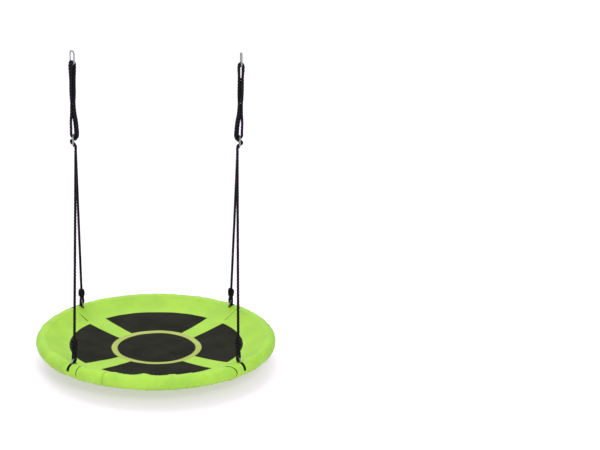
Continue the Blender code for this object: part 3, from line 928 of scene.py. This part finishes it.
def cover_relief(angle, turn):
    """How far the cover stands off its plain round tube: lumps, puckers, folds, seams and puffed places."""
    inside = 0.5 - 0.5 * cos(radians(turn))
    top = max(0.0, sin(radians(turn)))
    # Broad lumps, then smaller ones
    relief = 0.0016 * noise_at(angle, turn, 0.110, 1.0, 3.1)
    relief += 0.0010 * noise_at(angle, turn, 0.045, 1.3, 7.7)
    # Puckers, deepest on the inner side, and slanted folds, both deeper where the cloth is loose
    loose = 0.5 + 0.5 * noise_at(angle, 0, 0.200, 3.0, 12.3)
    pucker = 1 - abs(noise_at(angle, turn, 0.030, 3.5, 5.3)) * 2.2
    relief += 0.0011 * (pucker - 0.5) * (0.25 + 0.75 * inside) * (0.4 + loose)
    slanted = 1 - min(1.0, abs(noise_at(angle + 0.05 * turn, turn, 0.060, 2.0, 9.4)) * 3.2)
    relief += 0.0014 * slanted**3 * (0.3 + loose)
    # A groove with a swelling on each side at every seam, slit and fold
    for edge in SEAMS:
        gap = along_rim(angle, seam_angle(edge, turn))
        relief += -0.0014 * bell(gap, 0.0035) + 0.0008 * bell(abs(gap) - 0.010, 0.006)
    for centre in CORNERS.values():
        gap = along_rim(angle, centre)
        relief += (-0.0016 * bell(gap, 0.010) + 0.0010 * bell(abs(gap) - 0.024, 0.010)) * (0.3 + 0.7 * top)
    gap = along_rim(angle, FOLD)
    relief += (-0.0026 * bell(gap, 0.0030) + 0.0012 * bell(gap - 0.007, 0.005)) * bell(turn - 40, 75)
    tight_angle, tight_turn = TIGHT_PLACE
    relief -= 0.0018 * bell(apart(angle, tight_angle), 40) * bell(apart(turn, tight_turn), 60)
    return relief + puffed(angle, turn)


def puffed(angle, turn):
    rise = 0.0
    for puff_angle, puff_turn, width, height in PUFFS:
        rise += height * bell(apart(angle, puff_angle), width) * bell(apart(turn, puff_turn), 38)
    return rise


def cover_point(angle, turn, lift=0.0):
    """A point on the rim's cover: angle round the seat, and turn round the tube from its outer side."""
    return on_tube(COVER_RADIUS - 0.0004 + cover_relief(angle, turn) + lift, angle, turn)


def closed_ring(name, rows):
    """An object of a sleeve round the whole rim."""
    return new_object(name, turned_out(grid_mesh(name, rows, closed_rows=True, closed_columns=True)))


def settled_cover(angles, turns):
    """The sleeve as cloth: cut too large for its foam, held where it is sewn, left to fall and buckle."""
    rows = [[cover_point(skewed(angle, turn), turn) for turn in turns] for angle in angles]
    width = len(turns)
    sleeve = closed_ring("falling_sleeve", rows)
    held = sleeve.vertex_groups.new(name="held")
    for i, angle in enumerate(angles):
        for j, turn in enumerate(turns):
            held.add([i * width + j], hold_at(angle, turn), "REPLACE")
    ring = [[on_tube(FOAM_RADIUS, angle, turn) for turn in turns[::2]] for angle in angles[::3]]
    core = closed_ring("foam_ring", ring)
    core.modifiers.new("collision", "COLLISION")
    core.collision.thickness_outer = 0.0005
    core.collision.cloth_friction = 12
    cloth = sleeve.modifiers.new("cloth", "CLOTH")
    cloth.settings.vertex_group_mass = "held"
    cloth.settings.shrink_min = -SLEEVE_SLACK
    cloth.settings.effector_weights.gravity = 0.4
    for key, value in SLEEVE_CLOTH.items():
        setattr(cloth.settings, key, value)
    cloth.collision_settings.distance_min = 0.0006
    cloth.collision_settings.collision_quality = 2
    cloth.collision_settings.use_self_collision = False
    scene = bpy.context.scene
    for frame_number in range(1, SETTLE_FRAMES + 1):
        scene.frame_set(frame_number)
    shape = sleeve.evaluated_get(bpy.context.evaluated_depsgraph_get()).to_mesh()
    places = [outside_foam(vertex.co.copy()) for vertex in shape.vertices]
    scene.frame_set(1)
    bpy.data.objects.remove(sleeve)
    bpy.data.objects.remove(core)
    return [places[i * width : (i + 1) * width] for i in range(len(angles))]


def hold_at(angle, turn):
    """How firmly the sleeve is held: at its seams and fold, round the slits, and at the panel's seam."""
    seam = min(abs(apart(angle, centre)) for centre in SEAMS.values())
    slit = min(abs(apart(angle, centre)) for centre in CORNERS.values())
    fold = abs(apart(angle, FOLD))
    in_slit = slit < 0.8 and SLIT_START - 8 < turn < SLIT_END + 8
    if seam < 0.3 or in_slit or (fold < 0.3 and -50 < turn < 110):
        return 1.0
    return 1 - smooth((abs(apart(turn, JOIN_TURN)) - 5) / 32)


def outside_foam(place):
    """The place, moved out of the foam if it is in it."""
    middle = Vector((place.x, place.y, 0)).normalized() * RIM_RADIUS + Vector((0, 0, RIM_Z))
    out = place - middle
    return middle + out.normalized() * max(out.length, FOAM_RADIUS + 0.0004)


def crumple(angle, turn):
    """Sharp little folds in the sleeve, deepest at the middle of its front."""
    ridge = max(0.0, 1 - abs(noise_at(angle, turn, 0.050, 1.5, 21.7)) * 3.6)
    deep = 0.35 + 0.65 * bell(apart(angle, 277), 13) * bell(turn - 30, 60)
    return -0.0038 * ridge * deep


def make_covers(material):
    """Four sections of the padded sleeve, each from one seam to the next."""
    first = SEAMS["rear"]
    angles = [first + COVER_STEP * k for k in range(round(360 / COVER_STEP))]
    turns = [360 * j / COVER_SIDES - 90 for j in range(COVER_SIDES)]
    rows = settled_cover(angles, turns)
    for angle, row in zip(angles, rows):
        for j, turn in enumerate(turns):
            free = 1 - hold_at(angle, turn)
            row[j] += rim_normal(angle, turn) * (crumple(angle, turn) + 0.7 * puffed(angle, turn)) * free
    starts = [round((start - first) / COVER_STEP) for start in SEAMS.values()] + [len(angles)]
    along, around = radians(COVER_STEP) * RIM_RADIUS, tau * COVER_RADIUS / COVER_SIDES
    for edge, start, end in zip(SEAMS, starts, starts[1:]):
        name = f"{edge}_sleeve"
        part = [rows[k % len(rows)] for k in range(start, end + 1)]
        mesh = grid_mesh(name, part, lambda i, j: (along * i, around * j), closed_columns=True, caps=True)
        piece = add_piece(name, turned_out(mesh), material)
        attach(piece, "seat")
        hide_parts(f"{edge}_cover")


# ---- seat panel


def dish_height(reach):
    return RIM_Z - PANEL_EDGE_DROP - PANEL_SAG * (1 - (reach / PANEL_RADIUS) ** 2)


def panel_height(reach, angle):
    """The panel's upper side: a dish with slack and drawn folds, which rises to its seam on the rim."""
    across = polar(1, angle)
    share = reach / PANEL_RADIUS
    slack = 0.0016 * noise.noise(across * reach / 0.13 + Vector((4.2, 1.1, 0)))
    slack += 0.0008 * noise.noise(across * reach / 0.05 + Vector((8.2, 3.1, 0)))
    drawn = 0.0014 * noise.noise(across * 6.0 + Vector((1.5, 0.7, 3.0 * share))) * share**3
    height = dish_height(reach) + slack + drawn
    for edge in SEAMS:
        gap = along_rim(angle, seam_angle(edge, JOIN_TURN), reach)
        height -= 0.0016 * bell(gap, 0.004) * smooth((reach - 0.375) / 0.02)
    return risen(height, reach, angle) if reach > FILLET_START else height


def risen(height, reach, angle):
    """The height where the panel rises, from the dish's slope to that of the rim's cover at the join."""
    span = join_reach(angle) - FILLET_START
    share = min(1.0, (reach - FILLET_START) / span)
    start_slope = 2 * PANEL_SAG * FILLET_START / PANEL_RADIUS**2
    end_slope = -1 / tan(radians(JOIN_TURN))
    curve = (2 * share**3 - 3 * share**2 + 1) * dish_height(FILLET_START)
    curve += (share**3 - 2 * share**2 + share) * span * start_slope
    curve += (3 * share**2 - 2 * share**3) * join_point(angle).z + (share**3 - share**2) * span * end_slope
    return curve + (height - dish_height(reach)) * (1 - smooth(share))


joins = {}


def join_point(angle):
    """Where the panel meets the rim's cover."""
    key = round(angle % 360, 4)
    if key not in joins:
        joins[key] = cover_point(angle, JOIN_TURN, -0.0006)
    return joins[key]


def join_reach(angle):
    point = join_point(angle)
    return hypot(point.x, point.y)


def panel_point(reach, angle, lift=0.0):
    return polar(reach, angle, panel_height(reach, angle) + lift)


def flat_sheet(name, rows, closed):
    """A sheet that faces up, with UVs in metres from above. A small hole in its middle is closed."""
    mesh = grid_mesh(name, rows, closed_columns=closed)
    form = form_of(mesh)
    hole = [edge for edge in form.edges if edge.is_boundary and edge.verts[0].co.xy.length < 0.01]
    if hole:
        bmesh.ops.contextual_create(form, geom=hole)
    bmesh.ops.recalc_face_normals(form, faces=form.faces)
    if sum(face.normal.z * face.calc_area() for face in form.faces) < 0:
        bmesh.ops.reverse_faces(form, faces=form.faces)
    layer = form.loops.layers.uv.verify()
    for face in form.faces:
        for loop in face.loops:
            loop[layer].uv = loop.vert.co.xy
    return written(form, mesh)


def make_panel(material):
    steps, rings = 420, 96
    angles = [360 * j / steps for j in range(steps)]
    shares = [0.004 + 0.996 * i / rings for i in range(rings + 1)]
    rows = [[panel_point(join_reach(angle) * share, angle) for angle in angles] for share in shares]
    piece = add_piece("seat_cloth", flat_sheet("seat_cloth", rows, True), material)
    solidify = piece.modifiers.new("wall", "SOLIDIFY")
    solidify.thickness = CLOTH
    solidify.offset = -1
    applied(piece)
    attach(piece, "seat")
    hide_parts("seat_panel")
    return piece


def crowded(count):
    """Shares from 0 to 1, close together at both ends."""
    return [0, 0.004, 0.012, *[0.012 + 0.976 * k / count for k in range(1, count)], 0.988, 0.996, 1]


def patch_lift(edge):
    """A patch's height over the panel, this many rows or columns from its edge, which turns down into it."""
    return (-0.0004, 0.55 * PATCH_LIFT, PATCH_LIFT)[min(edge, 2)]


def spoke_half(reach, inset=0.0):
    """Half of a patch's angle at this reach, between its two spokes, in degrees."""
    share = (reach - BAND_RADIUS) / (PATCH_RADIUS - BAND_RADIUS)
    width = SPOKE_INNER_WIDTH + share * (SPOKE_OUTER_WIDTH - SPOKE_INNER_WIDTH)
    return 45 - degrees(asin((width / 2 + inset) / reach))


def make_patches(material, band_material):
    """The dark disc, the pale band round it, and the four dark wedges."""
    pieces = []

    def lay(name, spots, lift_at, material, closed):
        rows = []
        for i, row in enumerate(spots):
            rows.append([panel_point(reach, angle, lift_at(i, j)) for j, (reach, angle) in enumerate(row)])
        piece = add_piece(name, flat_sheet(name, rows, closed), material)
        pieces.append(piece)
        return piece

    shares = crowded(56)
    reaches = [BAND_RADIUS + share * (PATCH_RADIUS - BAND_RADIUS) for share in crowded(26)]

    def wedge_lift(i, j):
        return patch_lift(min(i, len(reaches) - 1 - i, j, len(shares) - 1 - j))

    for edge, middle in EDGES.items():
        spots = [[(reach, middle + spoke_half(reach) * (2 * t - 1)) for t in shares] for reach in reaches]
        wedge = lay(f"{edge}_wedge", spots, wedge_lift, material, False)
        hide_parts(f"{edge}_patch")
    angles = [1.5 * k for k in range(240)]
    spots = [[(DISC_RADIUS * share, angle) for angle in angles] for share in (0.004, *crowded(30)[3:])]
    rings = len(spots) - 1
    disc = lay("dark_disc", spots, lambda i, j: patch_lift(rings - i), material, True)
    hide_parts("centre_patch")
    across = (0, 0.05, 0.15, 0.3, 0.5, 0.7, 0.85, 0.95, 1)
    low, width = DISC_RADIUS - 0.001, BAND_RADIUS - DISC_RADIUS + 0.002
    spots = [[(low + share * width, angle) for angle in angles] for share in across]

    def crown(i, j):
        return 0.0004 + 0.0016 * sin(pi * i / 8) ** 0.6

    lay("pale_band", spots, crown, band_material, True)
    for piece in pieces:
        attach(piece, "seat")
    return pieces


# ---- stitching, seams and slits


def stitches(name, lines, material):
    """Rows of small stitches along lines of (point, normal)."""
    verts, faces = [], []
    outline = arc(STITCH_RADIUS, 0, 360, 5)[:-1]
    sides = len(outline)
    shape = grid_faces(4, sides, closed_columns=True, caps=True)
    shape = [[i * sides + j % sides for i, j in face] for face in shape]
    for line in lines:
        path = [point for point, _ in line]
        total = length_of(path)
        count = int(total / STITCH_PITCH)
        starts = [k * total / count for k in range(count)]
        spots = at_distances(path, [start + step for start in starts for step in (0, STITCH_LENGTH)])
        for (start, _), (end, index) in zip(spots[::2], spots[1::2]):
            normal = line[index][1]
            across = (end - start).normalized().cross(normal).normalized()
            faces += [[len(verts) + vert for vert in face] for face in shape]
            for share, height, size in ((0, -0.5, 0.5), (0.2, 0.5, 1), (0.8, 0.5, 1), (1, -0.5, 0.5)):
                centre = start.lerp(end, share) + normal * STITCH_RADIUS * height
                verts += [centre + (across * x + normal * y) * size for x, y in outline]
    mesh = bpy.data.meshes.new(name)
    mesh.from_pydata(verts, [], faces)
    piece = add_piece(name, turned_out(mesh), material)
    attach(piece, "seat")
    return piece


def panel_line(spots, lift):
    up = Vector((0, 0, 1))
    return [(panel_point(reach, angle, lift), up) for reach, angle in spots]


def wedge_outline(middle, inset):
    """The closed outline of a wedge, this far inside its edge."""
    low, high = BAND_RADIUS + inset, PATCH_RADIUS - inset
    reaches = [low + (high - low) * k / 24 for k in range(1, 24)]
    spots = [(low, 1 - k / 20) for k in range(41)]
    spots += [(reach, -1) for reach in reaches]
    spots += [(high, k / 40 - 1) for k in range(81)]
    spots += [(reach, 1) for reach in reversed(reaches)]
    return [(reach, middle + share * spoke_half(reach, inset)) for reach, share in [*spots, spots[0]]]


def make_stitching(dark_thread, green_thread):
    def ring(reach, lift):
        return panel_line([(reach, 1.5 * k) for k in range(241)], lift)

    lines = [panel_line(wedge_outline(middle, STITCH_INSET), PATCH_LIFT) for middle in EDGES.values()]
    lines.append(ring(DISC_RADIUS - STITCH_INSET, PATCH_LIFT))
    dark = stitches("dark_stitching", lines, dark_thread)
    lines = [ring(reach, 0.0017) for reach in (DISC_RADIUS + 0.0030, BAND_RADIUS - 0.0030)]
    return [dark, stitches("band_stitching", lines, green_thread)]


def make_seam(edge, material):
    """The dark tape in a cover seam, from the panel over the rim to its underside."""
    inner = seam_angle(edge, JOIN_TURN)
    reaches = [TAPE_START + (join_reach(inner) - 0.002 - TAPE_START) * k / 11 for k in range(12)]
    spots = panel_line([(reach, inner) for reach in reaches], 0.0006)
    spots += on_rim(lambda turn: seam_angle(edge, turn), range(JOIN_TURN - 6, -100, -5))
    lay_tape(f"{edge}_seam_tape", spots, SEAM_TAPES[edge], material)


def make_fold_shade_line(material):
    """A thin dark green line along the sewn fold at the front left, painted shade in the fold's crease."""
    lay_tape("front_fold_shade_line", on_rim(lambda turn: FOLD, range(104, -46, -5)), 0.0009, material)


def on_rim(angle_at, turns):
    """(point, normal) on the rim's cover at each of these turns round the tube."""
    return [(cover_point(angle_at(turn), turn, 0.0007), rim_normal(angle_at(turn), turn)) for turn in turns]


def lay_tape(name, spots, half_width, material):
    """A flat tape along (point, normal)."""
    path = [point for point, _ in spots]
    frames = []
    for i, (_, normal) in enumerate(spots):
        along = (path[min(i + 1, len(path) - 1)] - path[max(i - 1, 0)]).normalized()
        across = along.cross(normal).normalized()
        frames.append((along, across, across.cross(along)))
    mesh = sweep(name, path, oval_section(half_width, TAPE_WALL, 12), frames=frames)
    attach(add_piece(name, mesh, material), "seat")


def slit_outline(angle, lift, steps=24):
    """The closed line round a lug's slit, with round ends."""
    across = degrees(SLIT_HALF / RIM_RADIUS)
    round_end = degrees(SLIT_HALF / COVER_RADIUS)
    spots = []
    for way, start, end in ((1, SLIT_START, SLIT_END), (-1, SLIT_END, SLIT_START)):
        spots += [(way * across, start + (end - start) * k / steps) for k in range(steps + 1)]
        spots += [(way * across * x, end + way * round_end * y) for x, y in arc(1, 0, 180, 6)[1:-1]]
    return [cover_point(angle + gap, turn, lift) for gap, turn in spots]


def make_slit(corner, material):
    """The bound slit that a lug stands in: a rolled black edge, and inside it a black sheet on the cover,
    painted shade for the dark opening.
    """
    angle = CORNERS[corner]
    outline = slit_outline(angle, 0.0006)
    path = evenly([*outline, outline[0]], 0.002)[:-1]
    binding = sweep(f"{corner}_slit_binding", path, oval_section(SLIT_BINDING, SLIT_BINDING, 12), closed=True)
    # Painted shade: a black sheet laid on the cover where the slit's opening is dark
    half = degrees(SLIT_HALF / RIM_RADIUS)
    turns = [SLIT_START - 3 + (SLIT_END - SLIT_START + 6) * k / 39 for k in range(40)]
    rows = [[cover_point(angle + half * t, turn, 0.0004) for t in (-1, 0, 1)] for turn in turns]
    painted_opening_shade = grid_mesh(f"{corner}_slit_lining", rows, lambda i, j: (0.003 * i, 0.003 * j))
    for mesh in (binding, painted_opening_shade):
        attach(add_piece(mesh.name, mesh, material), "seat")


# ---- the whole object


def dress_cad_nodes(frame_steel, foam):
    """The inner pieces keep their CAD shapes."""
    for name, node in frame["nodes"].items():
        if name.endswith("_foam") or "_tube" in name:
            node.data.materials.clear()
            node.data.materials.append(foam if name.endswith("_foam") else frame_steel)


def main():
    make_camera()
    rope = rope_material()
    for side in SIDES:
        make_side_ropes(side, rope)
        for end in ENDS:
            make_knot(side, end, rope)

    steel = steel_material("zinc_wire", (0.325, 0.352, 0.322), 0.24, 0.12)
    frame_steel = steel_material("galvanised_tube", (0.58, 0.59, 0.60), 0.42, 0.2)
    for side in SIDES:
        make_ring(side, steel)
        make_snap_hook(side, steel)
        make_gate(side, steel)
        make_rivet(side, steel)
    for corner in CORNERS:
        make_lug(corner, steel)

    green = cloth_material(
        "green_oxford", (0.285, 0.562, 0.025), (0.372, 0.660, 0.046), roughness=0.50, gloss=0.6
    )
    # Painted sheen: the panel's cloth is a paler, bluer copy of the rim's green, standing in for the
    # whiteness of reflection at grazing angles
    paler = cloth_material("green_panel_oxford_painted_sheen", (0.298, 0.560, 0.034), (0.385, 0.650, 0.060), gloss=0.4)
    dark = cloth_material("dark_oxford", (0.0200, 0.0200, 0.0160), (0.0305, 0.0305, 0.0243))
    pale = cloth_material("pale_band_tape", (0.36, 0.42, 0.095), (0.43, 0.50, 0.135), 0.0009, gloss=0.1)
    tape = cloth_material("black_tape", (0.004, 0.006, 0.003), (0.009, 0.012, 0.007), 0.0008)
    make_covers(green)
    panel = make_panel(paler)
    patches = make_patches(dark, pale)
    dark_thread = thread_material("dark_thread", (0.035, 0.035, 0.030))
    green_thread = thread_material("green_thread", (0.42, 0.72, 0.12))
    sewn = make_stitching(dark_thread, green_thread)
    for edge in SEAMS:
        make_seam(edge, tape)
    # Painted shade: a dark green line in the crease of the front fold
    make_fold_shade_line(thread_material("fold_painted_shade", (0.10, 0.22, 0.015)))
    for corner in CORNERS:
        make_slit(corner, tape)
    dress_cad_nodes(frame_steel, foam_material())
    make_studio()


main()
